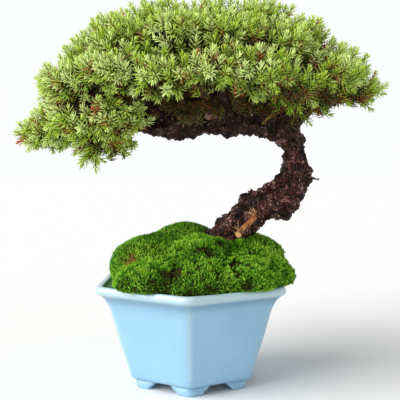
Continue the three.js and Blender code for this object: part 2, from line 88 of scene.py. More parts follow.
def make_lights():
    """A soft key from the upper left over a pale, even sky."""
    data = bpy.data.lights.new("key", "SUN")
    data.energy = 3.9
    data.angle = math.radians(58)
    data.color = (1.0, 0.985, 0.95)
    key = placed("key", data)
    key.location = at_axis(-745, -370, 620)
    aim(key, at_axis(0, 0, 100))
    world = bpy.data.worlds.new("studio")
    world.use_nodes = True
    tree = world.node_tree
    sky = tree.nodes["Background"]
    sky.inputs["Color"].default_value = (0.975, 0.99, 1.0, 1)
    direction = tree.nodes.new("ShaderNodeTexCoord").outputs["Generated"]
    parts = tree.nodes.new("ShaderNodeSeparateXYZ")
    tree.links.new(direction, parts.inputs[0])
    strength = tree.nodes.new("ShaderNodeMapRange")
    tree.links.new(parts.outputs["Z"], strength.inputs["Value"])
    for socket, value in (("From Min", 0.24), ("From Max", 0.5), ("To Min", 1.0), ("To Max", 0.46)):
        strength.inputs[socket].default_value = value
    tree.links.new(strength.outputs["Result"], sky.inputs["Strength"])
    bpy.context.scene.world = world
    bpy.context.scene.view_settings.view_transform = "Standard"


# ---- node helpers


def rgb(red, green, blue):
    """An sRGB colour of 0 to 255 as the linear RGBA that shaders take."""
    shares = [value / 255 for value in (red, green, blue)]
    linear = [s / 12.92 if s <= 0.04045 else ((s + 0.055) / 1.055) ** 2.4 for s in shares]
    return (*linear, 1)


class Nodes:
    """A material's node tree, with short calls for the nodes used here."""

    def __init__(self, name, settings):
        self.material = bpy.data.materials.new(name)
        self.material.use_nodes = True
        self.tree = self.material.node_tree
        self.shader = self.tree.nodes["Principled BSDF"]
        for socket, value in settings.items():
            self.shader.inputs[socket].default_value = value

    def add(self, kind, inputs=(), **settings):
        node = self.tree.nodes.new(kind)
        for name, value in settings.items():
            setattr(node, name, value)
        for socket, value in dict(inputs).items():
            self.put(node.inputs[socket], value)
        return node

    def put(self, socket, value):
        if isinstance(value, bpy.types.NodeSocket):
            self.tree.links.new(value, socket)
        else:
            socket.default_value = value

    def place(self):
        return self.add("ShaderNodeTexCoord").outputs["Object"]

    def vertex_value(self, name):
        return self.add("ShaderNodeAttribute", attribute_name=name).outputs["Fac"]

    def math(self, operation, first, second=0.0):
        return self.add("ShaderNodeMath", {0: first, 1: second}, operation=operation).outputs[0]

    def noise(self, size, detail=4.0, roughness=0.55, where=None):
        """Noise whose features are about size millimetres across."""
        inputs = {"Scale": 1 / (size * MM), "Detail": detail, "Roughness": roughness}
        inputs["Vector"] = where or self.place()
        return self.add("ShaderNodeTexNoise", inputs).outputs["Fac"]

    def cells(self, size, feature="F1", output="Distance"):
        inputs = {"Scale": 1 / (size * MM), "Vector": self.place()}
        return self.add("ShaderNodeTexVoronoi", inputs, feature=feature).outputs[output]

    def ramp(self, factor, stops):
        """Colours between stops of (position, red, green, blue)."""
        node = self.add("ShaderNodeValToRGB", {"Fac": factor})
        elements = node.color_ramp.elements
        while len(elements) > 1:
            elements.remove(elements[0])
        elements[0].position, elements[0].color = stops[0][0], rgb(*stops[0][1:])
        for position, *colour in stops[1:]:
            elements.new(position).color = rgb(*colour)
        return node.outputs["Color"]

    def span(self, value, low, high, new_low=0.0, new_high=1.0):
        """A value of low to high as one of new_low to new_high."""
        inputs = {"Value": value, 1: low, 2: high, 3: new_low, 4: new_high}
        return self.add("ShaderNodeMapRange", inputs).outputs["Result"]

    def mix(self, factor, first, second):
        node = self.add("ShaderNodeMix", data_type="RGBA")
        for socket, value in ((0, factor), (6, first), (7, second)):
            self.put(node.inputs[socket], value)
        return node.outputs[2]

    def bump(self, height, depth, strength=1.0):
        inputs = {"Height": height, "Distance": depth * MM, "Strength": strength}
        self.put(self.shader.inputs["Normal"], self.add("ShaderNodeBump", inputs).outputs["Normal"])

    def colour(self, value):
        self.put(self.shader.inputs["Base Color"], value)

    def rough(self, value):
        self.put(self.shader.inputs["Roughness"], value)


# ---- mesh helpers


def put_in_scene(name, mesh, material, slot, *replaced):
    """A finished piece: it rides on the one body and takes the given material; its slot is not used."""
    mesh.materials.clear()
    mesh.materials.append(material)
    piece = placed(name, mesh)
    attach(piece, "root")
    if replaced:
        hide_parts(*replaced)


def triangle_mesh(name, points, faces, uv=None, smooth=True):
    """A mesh from an array of points and an array of triangles."""
    mesh = bpy.data.meshes.new(name)
    mesh.vertices.add(len(points))
    mesh.vertices.foreach_set("co", np.asarray(points, np.float32).ravel())
    mesh.loops.add(3 * len(faces))
    mesh.loops.foreach_set("vertex_index", np.asarray(faces, np.int32).ravel())
    mesh.polygons.add(len(faces))
    mesh.polygons.foreach_set("loop_start", np.arange(0, 3 * len(faces), 3, dtype=np.int32))
    mesh.polygons.foreach_set("use_smooth", np.full(len(faces), smooth))
    if uv is not None:
        layer = mesh.uv_layers.new(name="OFBake")
        layer.data.foreach_set("uv", np.asarray(uv, np.float32).ravel())
    mesh.update()
    mesh.validate()
    return mesh


def coordinates(mesh, what="co"):
    values = np.empty(3 * len(mesh.vertices), np.float32)
    mesh.vertices.foreach_get(what, values)
    return values.reshape(-1, 3)


def triangles_of(mesh):
    mesh.calc_loop_triangles()
    corners = np.empty(3 * len(mesh.loop_triangles), np.int32)
    mesh.loop_triangles.foreach_get("vertices", corners)
    return corners.reshape(-1, 3)


def merged(meshes):
    """The points and triangles of several meshes together."""
    points, faces, start = [], [], 0
    for mesh in meshes:
        points.append(coordinates(mesh))
        faces.append(triangles_of(mesh) + start)
        start += len(mesh.vertices)
    return np.concatenate(points), np.concatenate(faces)


def tree_of(meshes):
    """One search tree over the triangles of several meshes."""
    points, faces = merged(meshes)
    return BVHTree.FromPolygons(points.tolist(), faces.tolist())


def solids(nodes):
    """The meshes of CAD nodes."""
    return [NODES[node].data for node in nodes]


def put_values(mesh, name, values):
    """Gives each vertex a number that a material can read."""
    layer = mesh.attributes.new(name, "FLOAT", "POINT")
    layer.data.foreach_set("value", values.astype(np.float32))


def noise_at(spots, size):
    """Smooth noise at each place, with features of about size millimetres."""
    return np.array([noise.noise(Vector(spot) / (size * MM)) for spot in spots])


def unit(vectors):
    return vectors / np.maximum(np.linalg.norm(vectors, axis=-1, keepdims=True), 1e-9)


def surface_samples(mesh, count, rng):
    """Points spread evenly over a mesh, with the normals of their faces."""
    points, faces = coordinates(mesh), triangles_of(mesh)
    a, b, c = (points[faces[:, k]].astype(float) for k in range(3))
    across = np.cross(b - a, c - a)
    area = np.linalg.norm(across, axis=1)
    chosen = rng.choice(len(faces), count, p=area / area.sum())
    r, s = np.sqrt(rng.random((count, 1))), rng.random((count, 1))
    spots = a[chosen] * (1 - r) + b[chosen] * (r * (1 - s)) + c[chosen] * (r * s)
    return spots, unit(across[chosen])


class Spacing:
    """Keeps points at least a given distance apart."""

    def __init__(self, distance):
        self.distance = distance
        self.cells = {}

    def take(self, point):
        """Whether a point has room beside those taken before it; if so, it is taken too."""
        x, y, z = (int(math.floor(value / self.distance)) for value in point)
        for dx, dy, dz in product((-1, 0, 1), repeat=3):
            for other in self.cells.get((x + dx, y + dy, z + dz), ()):
                if math.dist(other, point) < self.distance:
                    return False
        self.cells.setdefault((x, y, z), []).append(tuple(point))
        return True


def rebuilt(nodes, voxel, smoothing):
    """One or more CAD nodes as one mesh of small even faces, with its edges softened."""
    return remeshed(triangle_mesh("together", *merged(solids(nodes))), voxel, smoothing)


def remeshed(mesh, voxel, smoothing):
    """A closed mesh with faces of one voxel in millimetres, smoothed so many times."""
    obj = placed("together", mesh)
    remesh = obj.modifiers.new("even", "REMESH")
    remesh.mode = "VOXEL"
    remesh.voxel_size = voxel * MM
    soften = obj.modifiers.new("soften", "SMOOTH")
    soften.factor = 0.5
    soften.iterations = smoothing
    graph = bpy.context.evaluated_depsgraph_get()
    made = bpy.data.meshes.new_from_object(obj.evaluated_get(graph))
    bpy.data.objects.remove(obj)
    made.polygons.foreach_set("use_smooth", np.full(len(made.polygons), True))
    return made


def closed_over(nodes, voxel, reach, smoothing):
    """Several nodes as one surface, with the creases between them filled."""
    mesh = rebuilt(nodes, voxel, 2)
    displace(mesh, lambda point, normal: reach)
    mesh = remeshed(mesh, voxel, smoothing)
    displace(mesh, lambda point, normal: -reach)
    return mesh


def move_to(mesh, points):
    """Puts the vertices of a mesh at new places."""
    mesh.vertices.foreach_set("co", points.astype(np.float32).ravel())
    mesh.update()


def draw_in(mesh, start, end, reach, share):
    """Draws the vertices within reach of a line towards it."""
    points = coordinates(mesh).astype(float)
    start, along = np.array(start), np.array(end) - np.array(start)
    part = np.clip((points - start) @ along / (along @ along), 0, 1)
    nearest = start + part[:, None] * along
    close = np.linalg.norm(points - nearest, axis=1) < reach * MM
    points[close] = nearest[close] + share * (points - nearest)[close]
    move_to(mesh, points)


def displace(mesh, height):
    """Moves each vertex along its normal by height(point, normal), in millimetres."""
    points, normals = coordinates(mesh), coordinates(mesh, "normal")
    moves = [height(Vector(p) / MM, Vector(n)) * MM for p, n in zip(points.tolist(), normals.tolist())]
    move_to(mesh, points + normals * np.array(moves, np.float32)[:, None])


# ---- blades: needles, leaflets, scales

TONES = 24  # columns of the blades' colour map, one for each tone


class Blade:
    """The shape of one blade: flat above, keeled below, with rings of (along, width, keel).

    The upper side lies in the left half of the blade's column of the colour map, the keel in the right.
    """

    def __init__(self, rings):
        along, across, lift = [], [], []
        for position, width, keel in rings:
            along += [position] * 3
            across += [-width / 2, width / 2, 0]
            lift += [0, 0, -keel]
        tip = len(along)
        self.along = np.array(along + [1.0])
        self.across = np.array(across + [0.0])
        self.lift = np.array(lift + [0.0])
        self.faces, self.uv = [], []
        self.face([0, 1, 2], (0.56, 0.94, 0.75), (0.02, 0.02, 0.05))
        sides = [((0, 1), (0.06, 0.44)), ((1, 2), (0.94, 0.75)), ((2, 0), (0.75, 0.56))]
        for ring in range(len(rings)):
            for (first, last), (u_first, u_last) in sides:
                a, b = 3 * ring + first, 3 * ring + last
                if ring == len(rings) - 1:
                    self.face([a, tip, b], (u_first, (u_first + u_last) / 2, u_last))
                else:
                    self.face([a, a + 3, b], (u_first, u_first, u_last))
                    self.face([a + 3, b + 3, b], (u_first, u_last, u_last))
        self.faces = np.array(self.faces)
        self.uv = np.array(self.uv)

    def face(self, corners, across, up=None):
        """Adds a triangle. Without up, its height on the map follows its place along the blade."""
        self.faces.append(corners)
        self.uv.append(list(zip(across, up or [0.04 + 0.94 * self.along[corner] for corner in corners])))


NEEDLE = Blade([(0.0, 0.7, 0.25), (0.4, 1.0, 0.4), (0.8, 0.68, 0.25)])
LEAFLET = Blade([(0.0, 0.6, 0.3), (0.45, 1.0, 0.35)])
SCALE = Blade([(0.0, 0.5, 0.4), (0.25, 1.0, 0.6), (0.75, 1.05, 0.5), (0.95, 0.6, 0.2)])


def copies(points, faces, uv, tone, columns):
    """Copies of some triangles on points (N, M, 3), each in its own tone's column of the colour map."""
    count, size = points.shape[:2]
    column = np.clip((tone * columns).astype(int), 0, columns - 1)[:, None, None]
    mapped = np.empty((count, *uv.shape))
    mapped[..., 0] = (column + uv[None, ..., 0]) / columns
    mapped[..., 1] = uv[None, ..., 1]
    numbered = faces[None] + (np.arange(count) * size)[:, None, None]
    return points.reshape(-1, 3), numbered.reshape(-1, 3), mapped.reshape(-1, 2)


def blades(shape, base, direction, up, length, width, bend, tone):
    """Many blades as one set of points, triangles and map coordinates."""
    width, bend, tone = (np.broadcast_to(values, len(base)) for values in (width, bend, tone))
    side = np.cross(up, direction)
    along = shape.along[None, :, None]
    across = shape.across[None, :, None] * width[:, None, None]
    lift = shape.lift[None, :, None] * width[:, None, None]
    rise = lift + bend[:, None, None] * along**2 * length[:, None, None]
    points = base[:, None] + along * length[:, None, None] * direction[:, None]
    points = points + across * side[:, None] + rise * up[:, None]
    return copies(points, shape.faces, shape.uv, tone, TONES)


def shoot_line(tips, axes, feet, back, reach):
    """Where a shoot stands, and how it points, at a distance back from its tip."""
    share = back / reach
    axis = unit(axes * (1 - share) + feet * share)
    return tips - back * unit(axes + axis), axis


def whorls(rng, tips, axes, feet, rows, step, length, angles, opening, twist=0.16, room=1.0):
    """Blades in whorls of three along shoots that point along feet at the foot and axes at the tip.

    None stands further back from the tip than the shoot's room.
    """
    count = len(tips)
    shape = (count, rows, 3)
    pace = step * rng.uniform(0.82, 1.2, (count, 1, 1))
    back = ((np.arange(rows)[None, :, None] + rng.uniform(0, 0.5, shape)) * pace)[..., None]
    spread = [values[:, None, None] for values in (tips, axes, feet)]
    base, axis = shoot_line(*spread, back, pace[..., None] * rows)
    helper = unit(np.cross(axes, rng.normal(0, 1, (count, 3))))[:, None, None]
    first = unit(np.cross(axis, helper))
    second = np.cross(axis, first)
    turn = rng.uniform(0, 2 * math.pi, (count, 1, 1)) + np.arange(rows)[None, :, None] * math.pi / 3
    turn = (turn + np.arange(3)[None, None] * 2 * math.pi / 3 + rng.normal(0, twist, shape))[..., None]
    opened = 1 - np.exp(-back / opening)
    angle = angles[0] + (angles[1] - angles[0]) * opened + rng.normal(0, 0.09, shape)[..., None]
    radial = np.cos(turn) * first + np.sin(turn) * second
    size = length * (0.45 + 0.55 * (1 - np.exp(-2 * back / opening)))[..., 0]
    kept = np.broadcast_to(back[..., 0] < np.reshape(room, (-1, 1, 1)), shape).ravel()
    grown = {
        "base": base.reshape(-1, 3),
        "direction": (axis * np.cos(angle) + radial * np.sin(angle)).reshape(-1, 3),
        "up": (axis * np.sin(angle) - radial * np.cos(angle)).reshape(-1, 3),
        "length": (size * rng.uniform(0.85, 1.12, shape)).reshape(-1),
        "opened": opened.reshape(-1),
        "shoot": np.repeat(np.arange(count), 3 * rows),
    }
    return {name: values[kept] for name, values in grown.items()}


def whorl_blades(shape, grown, width, bend, tone):
    """The blades of whorls() as geometry."""
    fixed = [grown[name] for name in ("base", "direction", "up", "length")]
    return blades(shape, *fixed, width, bend, tone)


def joined(parts):
    """Several sets of points, triangles and map coordinates as one."""
    points, faces, uv, start = [], [], [], 0
    for part_points, part_faces, part_uv in parts:
        points.append(part_points)
        faces.append(part_faces + start)
        uv.append(part_uv)
        start += len(part_points)
    return np.concatenate(points), np.concatenate(faces), np.concatenate(uv)


def tubes(paths, radii, sides, tone, columns=TONES):
    """Closed tubes along paths of equally many points: paths (N, M, 3), radii (N, M)."""
    count, steps = radii.shape
    tangent = unit(np.gradient(paths, axis=1))
    helper = np.where(np.abs(tangent[..., 2:]) < 0.9, [[[0.0, 0.0, 1.0]]], [[[1.0, 0.0, 0.0]]])
    first = unit(np.cross(tangent, helper))
    second = np.cross(tangent, first)
    turn = np.arange(sides) / sides * 2 * math.pi
    ring = np.cos(turn)[:, None] * first[:, :, None] + np.sin(turn)[:, None] * second[:, :, None]
    rings = (paths[:, :, None] + ring * radii[..., None, None]).reshape(count, -1, 3)
    ends = np.stack([paths[:, 0], paths[:, -1]], axis=1)
    points = np.concatenate([rings, ends], axis=1)
    faces, uv = [], []
    for side in range(sides):
        after = (side + 1) % sides
        u0, u1 = 0.1 + 0.8 * side / sides, 0.1 + 0.8 * (side + 1) / sides
        for step in range(steps - 1):
            v0, v1 = 0.05 + 0.9 * step / (steps - 1), 0.05 + 0.9 * (step + 1) / (steps - 1)
            a, b = step * sides + side, step * sides + after
            faces += [[a, b, a + sides], [b, b + sides, a + sides]]
            uv += [[(u0, v0), (u1, v0), (u0, v1)], [(u1, v0), (u1, v1), (u0, v1)]]
        start, end = steps * sides, steps * sides + 1
        last = (steps - 1) * sides
        faces += [[after, side, start], [last + side, last + after, end]]
        uv += [[(u1, 0.04), (u0, 0.04), (0.5, 0.01)], [(u0, 0.96), (u1, 0.96), (0.5, 0.99)]]
    return copies(points, np.array(faces), np.array(uv), tone, columns)


# Each kind of blade: its tones as (position, red, green, blue), the pale colour of its upper side and that
# colour's share, the colour at its foot, its roughness and its specular level.
FINISHES = {
    "juniper_needles": (
        [(0.0, 186, 98, 50), (0.05, 112, 62, 34), (0.1, 32, 21, 12), (0.16, 26, 36, 6)]
        + [(0.36, 78, 112, 12), (0.6, 138, 174, 26), (0.82, 184, 212, 58), (1.0, 214, 232, 146)],
        *((216, 234, 158), 0.2, (160, 176, 52), 0.6, 0.2),
    ),
    "young_twigs": (
        [(0.0, 52, 26, 16), (0.6, 104, 52, 30), (1.0, 134, 78, 42)],
        *((90, 50, 36), 0.3, (40, 22, 16), 0.6, 0.25),
    ),
    "bark_scales": (
        [(0.0, 10, 6, 4), (0.4, 26, 15, 11), (0.7, 54, 34, 28), (0.84, 96, 74, 74)]
        + [(0.92, 104, 46, 28), (0.97, 130, 74, 44), (1.0, 190, 158, 128)],
        *((96, 76, 76), 0.2, (12, 8, 6), 0.5, 0.4),
    ),
    "wood_fibres": (
        [(0.0, 130, 84, 44), (1.0, 214, 170, 112)],
        *((230, 200, 150), 0.3, (110, 64, 34), 0.6, 0.25),
    ),
    "moss_leaves": (
        [(0.0, 156, 88, 46), (0.07, 28, 24, 8), (0.2, 26, 48, 8)]
        + [(0.45, 52, 104, 12), (0.7, 96, 164, 24), (1.0, 168, 212, 66)],
        *((150, 206, 84), 0.2, (30, 54, 8), 0.7, 0.1),
    ),
}


def blade_material(name):
    """A blade's colour, by its tone, its side and the distance from its foot."""
    tones, pale, pale_share, foot, roughness, specular = FINISHES[name]
    nodes = Nodes(name, {"Roughness": roughness, "Specular IOR Level": specular})
    uv = nodes.add("ShaderNodeUVMap", uv_map="OFBake").outputs[0]
    spot = nodes.add("ShaderNodeSeparateXYZ", {0: uv})
    columns = nodes.math("MULTIPLY", spot.outputs["X"], TONES)
    tone = nodes.math("DIVIDE", nodes.math("FLOOR", columns), TONES - 1)
    upper = nodes.math("LESS_THAN", nodes.math("FRACT", columns), 0.5)
    colour = nodes.mix(nodes.math("MULTIPLY", upper, pale_share), nodes.ramp(tone, tones), rgb(*pale))
    near_foot = nodes.span(spot.outputs["Y"], 0.0, 0.35, 0.55, 0.0)
    nodes.colour(nodes.mix(near_foot, colour, rgb(*foot)))
    return nodes.material


# ---- foliage

SHOOT_TRIES = 26000
INNER_TRIES = 16000
WOOD_TRIES = 40000
SHOOT_SPACING = 7.0 * MM
INNER_SPACING = 7.5 * MM
WOOD_SPACING = 4.4 * MM
CLEARANCE = 1.0 * MM
SHOOT_ROWS = 11
WHORL_STEP = 1.6 * MM
SHOOT_REACH = SHOOT_ROWS * WHORL_STEP
NEEDLE_LENGTH = 7.4 * MM
NEEDLE_WIDTH = 1.2 * MM
CANOPY_MIDDLE = at_axis(7, 0, 235)
CANOPY_REACH = 150 * MM
# Below LIMB_SHADE and near the limb, on the side of LIMB_END where it runs, few shoots find light.
LIMB_SHADE = 238 * MM
LIMB_END = at_axis(-36, 0, 0).x
SHADE_REACH = 46 * MM
LIT_SHARE = 0.22
DEAD_SHARE = 0.005
WITHERED_SHARE = 0.2
DEAD_TONE = 0.02


def owners(nodes):
    """A function that says which node lies nearest to each of some places."""
    tree = tree_of(solids(nodes))
    ends = np.cumsum([len(triangles_of(mesh)) for mesh in solids(nodes)])

    def nearest(spots):
        found = [tree.find_nearest(Vector(spot))[2] for spot in spots]
        return np.searchsorted(ends, found, side="right")

    return nearest


def open_samples(mesh, count, avoided, gap, distance, rng):
    """Evenly spaced samples of a surface, without those that lie close to the avoided nodes."""
    spots, normals = surface_samples(mesh, count, rng)
    tree, spacing = tree_of(solids(avoided)), Spacing(distance)
    clear = (i for i in range(count) if tree.find_nearest(Vector(spots[i]), gap)[0] is None)
    keep = [i for i in clear if spacing.take(spots[i])]
    return spots[keep], normals[keep]


def shoot_axes(spots, normals, rng):
    """The ways that shoots point at their feet and at their tips, which turn up to the light."""
    away = spots - np.array(CANOPY_MIDDLE)
    away[:, 2] = 0
    lift = np.clip((normals[:, 2:] + 0.35) / 0.6, 0, 1) * np.array([[0.0, 0.0, 1.0]])
    wild = rng.normal(0, 0.2, normals.shape)
    feet = unit(0.8 * normals + 0.45 * unit(away) + 0.1 * lift + wild)
    tips = unit(0.62 * normals + 0.2 * unit(away) + 0.75 * lift + 1.2 * wild)
    return feet, tips


def grow_shoots(spots, normals, depth, rng):
    """The tips of shoots at a depth below some places, and the ways they point at tip and foot."""
    feet, axes = shoot_axes(spots, normals, rng)
    return spots - normals * depth, axes, feet


def thickness(skin, spots, normals):
    """How thick the foliage is behind each place on its skin."""
    inward = [skin.ray_cast(Vector(s - n * MM), Vector(-n))[3] for s, n in zip(spots, normals)]
    return np.array([distance or 3 * MM for distance in inward])[:, None]


def shaded_by_limb(spots, normals):
    """Which places face down or sideways close over the limb."""
    limb = tree_of(solids(["trunk"]))
    shaded = [
        normal[2] < 0.35
        and spot[0] > LIMB_END
        and spot[2] < LIMB_SHADE
        and limb.find_nearest(Vector(spot), SHADE_REACH)[0] is not None
        for spot, normal in zip(spots, normals)
    ]
    return np.array(shaded)


def young_shoots(parts, surface, skin, owner, rng):
    """The green shoots on the outside. Returns the routes of the twigs that carry them."""
    spots, normals = open_samples(surface, SHOOT_TRIES, ["trunk"], CLEARANCE, SHOOT_SPACING, rng)
    lit = ~shaded_by_limb(spots, normals) | (rng.random(len(spots)) < LIT_SHARE)
    spots, normals = spots[lit], normals[lit]
    count = len(spots)
    rise = noise_at(spots, 15)
    depth = (1.0 - 4.2 * rise + rng.normal(0, 1.8, count))[:, None] * MM
    reach = np.minimum(SHOOT_REACH, 0.7 * thickness(skin, spots, normals))
    tips, axes, feet = grow_shoots(spots, normals, depth, rng)
    # Painted light and shade in the shoots' tones: shoots that rise and stand out are lighter, sunken and
    # down-facing ones darker, and those on the left, towards the key light, paler.
    under = np.clip(-normals[:, 2] - 0.2, 0, 1)
    toward_key_light = np.clip((CANOPY_MIDDLE.x - spots[:, 0]) / CANOPY_REACH, 0, 1)
    shoot_tone = rng.normal(0.8, 0.12, count) + 0.26 * rise - 0.2 * under + 0.1 * toward_key_light
    dead = rng.random(count) < DEAD_SHARE
    withered = rng.random(count) < WITHERED_SHARE
    place = owner(spots)
    routes = []
    for index, pad in enumerate(PADS):
        mine = place == index
        shoots = tips[mine], axes[mine], feet[mine]
        habit = SHOOT_ROWS, WHORL_STEP, NEEDLE_LENGTH, (0.3, 1.15), 4.5 * MM
        grown = whorls(rng, *shoots, *habit, room=reach[mine])
        count = len(grown["length"])
        shoot, opened = grown["shoot"], grown["opened"]
        tone = shoot_tone[mine][shoot] + 0.08 - 0.24 * opened**4
        tone = (tone + rng.normal(0, 0.07, count)).clip(0.2, 0.999)
        chance = 0.006 + 0.04 * (opened > 0.93) + 0.6 * withered[mine][shoot] * (opened > 0.8)
        tone[dead[mine][shoot] | (rng.random(count) < chance)] = DEAD_TONE
        width = NEEDLE_WIDTH * rng.uniform(0.8, 1.15, count)
        parts[index].append(whorl_blades(NEEDLE, grown, width, rng.normal(0.1, 0.07, count), tone))
        low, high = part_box(pad)
        routes += twig_routes(*shoots, reach[mine], np.array((low + high) / 2), rng)
    return routes


def inner_growth(parts, surface, skin, owner, rng):
    """Two layers of old needles inside the pads, at depths in millimetres below their skin."""
    for depth, step in ((10, 1.5), (19, 1.7)):
        spots, normals = open_samples(surface, INNER_TRIES, ["trunk"], CLEARANCE, INNER_SPACING, rng)
        thick = thickness(skin, spots, normals)
        deep = thick[:, 0] > (depth + 6) * MM
        spots, normals, thick = spots[deep], normals[deep], thick[deep]
        shoots = grow_shoots(spots, normals, depth * MM, rng)
        old_growth(parts, owner(spots), shoots, step * MM, thick - (depth + 5) * MM, rng)


def growth_on_wood(parts, owner, rng):
    """Old needles that stand out from the top of the limb and from the branches above it."""
    bark, outward = open_samples(NODES["trunk"].data, WOOD_TRIES, ["pot"], CLEARANCE, WOOD_SPACING, rng)
    bare = (bark[:, 2] < CANOPY_MIDDLE.z - 19 * MM) | (outward[:, 2] < 0.05)
    bark, outward = bark[~bare], outward[~bare]
    shoots = grow_shoots(bark, outward, -13 * MM, rng)
    old_growth(parts, owner(bark), shoots, 1.4 * MM, np.full((len(bark), 1), 1.0), rng)


def foliage(material):
    """The needles of every pad, and the twigs that carry them."""
    rng = np.random.default_rng(11)
    surface = closed_over(PADS, 2.6, 7, 5)
    skin, owner = tree_of([surface]), owners(PADS)
    parts = [[] for _ in PADS]
    routes = young_shoots(parts, surface, skin, owner, rng)
    inner_growth(parts, surface, skin, owner, rng)
    growth_on_wood(parts, owner, rng)
    for pad, pieces in zip(PADS, parts):
        name = pad.replace("pad_", "needles_")
        put_in_scene(name, triangle_mesh(name, *joined(pieces)), material, "needles", pad)
    fine_twigs(routes, rng)


def old_growth(parts, place, shoots, step, room, rng):
    """Old needles deep inside the pads, many of them brown; the rest are dark green, partly their own colour
    and partly painted shade of the pads' interior.
    """
    for index in range(len(PADS)):
        mine = place == index
        tips, axes, feet = (values[mine] for values in shoots)
        habit = 8, step, 7.5 * MM, (0.35, 1.3), 5 * MM
        grown = whorls(rng, tips, axes, feet, *habit, room=room[mine])
        count = len(grown["length"])
        brown = rng.random(count) < np.where(grown["base"][:, 2] < LIMB_SHADE, 0.85, 0.45)
        tone = np.where(brown, rng.uniform(0.055, 0.12, count), rng.uniform(0.13, 0.3, count))
        parts[index].append(whorl_blades(LEAFLET, grown, 1.4 * MM, 0.1, tone))


def twig_routes(tips, axes, feet, reach, heart, rng):
    """Routes and radii from a pad's heart by way of a shared fork to each shoot's foot, then up the shoot."""
    shares = 1.0, 0.66, 0.33, 0.08
    ends = [shoot_line(tips, axes, feet, share * reach, SHOOT_REACH)[0] for share in shares]
    forks = ends[0][rng.choice(len(tips), max(2, len(tips) // 8), replace=False)]
    forks = heart + 0.6 * (forks - heart)
    routes = []
    for fork in forks:
        bend = rng.normal(0, 1.0 * MM, (4, 3))
        along = [heart + share * (fork - heart) for share in (0.2, 0.4, 0.6, 0.8)]
        routes.append((np.array([heart, *(along + bend), fork]), np.linspace(1.6, 1.1, 6)))
    for shoot in range(len(tips)):
        fork = forks[np.argmin(np.linalg.norm(forks - ends[0][shoot], axis=1))]
        middle = (fork + ends[0][shoot]) / 2 + rng.normal(0, 0.8 * MM, 3)
        line = np.array([fork, middle, *(end[shoot] for end in ends)])
        routes.append((line, np.array([0.9, 0.85, 0.75, 0.65, 0.5, 0.3])))
    return routes


def fine_twigs(routes, rng):
    """All the thin twigs inside the pads as one piece."""
    paths = np.array([route for route, _ in routes])
    radii = np.array([girth for _, girth in routes]) * MM
    mesh = triangle_mesh("fine_twigs", *tubes(paths, radii, 4, rng.random(len(paths))))
    put_in_scene("fine_twigs", mesh, blade_material("young_twigs"), "bark")


# ---- wood


def bark_material():
    """Cracked dark bark with rusty patches, darker from the bend up with painted shade of the canopy."""
    nodes = Nodes("bark", {"Roughness": 0.7, "Specular IOR Level": 0.16})
    broad, fine = nodes.noise(9, 5), nodes.noise(1.6, 4)
    plates = nodes.cells(3.4, "DISTANCE_TO_EDGE")
    # The palest tones are partly the bark's own grey flakes and partly painted highlights, pale specks that
    # stand in for glints.
    tones = [(0.38, 10, 6, 5), (0.47, 34, 19, 14), (0.54, 98, 60, 49)]
    tones += [(0.6, 166, 122, 113), (0.67, 206, 180, 178)]
    colour = nodes.ramp(nodes.mix(0.5, broad, fine), tones)
    rust = nodes.span(nodes.noise(6, 3), 0.55, 0.66)
    colour = nodes.mix(nodes.math("MULTIPLY", rust, 0.65), colour, rgb(92, 40, 24))
    height = nodes.add("ShaderNodeSeparateXYZ", {0: nodes.place()}).outputs["Z"]
    # Painted shade: the bark is darkened from the bend up, where the canopy shades the limb.
    painted_canopy_shade = nodes.span(height, 0.192, 0.212, 0.0, 0.76)
    colour = nodes.mix(painted_canopy_shade, colour, rgb(22, 12, 7))
    crack = nodes.span(plates, 0.0, 0.14, 0.85, 0.0)
    nodes.colour(nodes.mix(crack, colour, rgb(7, 4, 3)))
    nodes.rough(nodes.span(fine, 0.35, 0.65, 0.8, 0.4))
    nodes.bump(nodes.mix(0.5, plates, fine), 1.0, 0.9)
    return nodes.material


def bark_height(tree):
    """Lumps, knobs and plates of bark, lower where the wood is thin."""

    def height(point, normal):
        inward = tree.ray_cast(point * MM - normal * 0.3 * MM, -normal)[3]
        girth = min(1, (inward or 0.03) / (18 * MM)) ** 1.5
        lumps = 4.2 * noise.noise(point / 14) + 2.0 * noise.noise(point / 6)
        knob = 4.0 * max(0, 0.6 - noise.voronoi(point / 9.5)[0][0])
        near, next_near = noise.voronoi(point / 3.8)[0][:2]
        plate = 1.5 * min(0.5, next_near - near)
        return girth * (lumps + 2.0 * knob + plate + 0.8 * noise.noise(point / 1.8) - 1.6)

    return height


# Where the bark shrinks under bare wood: from, to, reach in millimetres and the share that is left.
DRAWN_IN = [
    ((99, -1, 169.4), (108, -3.2, 167.4), 3.4, 0.15),
    ((56, -17.5, 141), (43.5, -22, 131), 4.6, 0.4),
    ((43.5, -22, 131), (36.5, -23, 124), 4.6, 0.4),
]
SCALES_TOP = 0.238
SCALE_TRIES = 9000


def trunk_piece():
    """The trunk, limb and branches under their bark."""
    mesh = rebuilt(["trunk"], 1.1, 6)
    displace(mesh, bark_height(tree_of([mesh])))
    for start, end, reach, share in DRAWN_IN:
        draw_in(mesh, at_axis(*start), at_axis(*end), reach, share)
    put_in_scene("trunk_bark", mesh, bark_material(), "bark", "trunk")
    return mesh


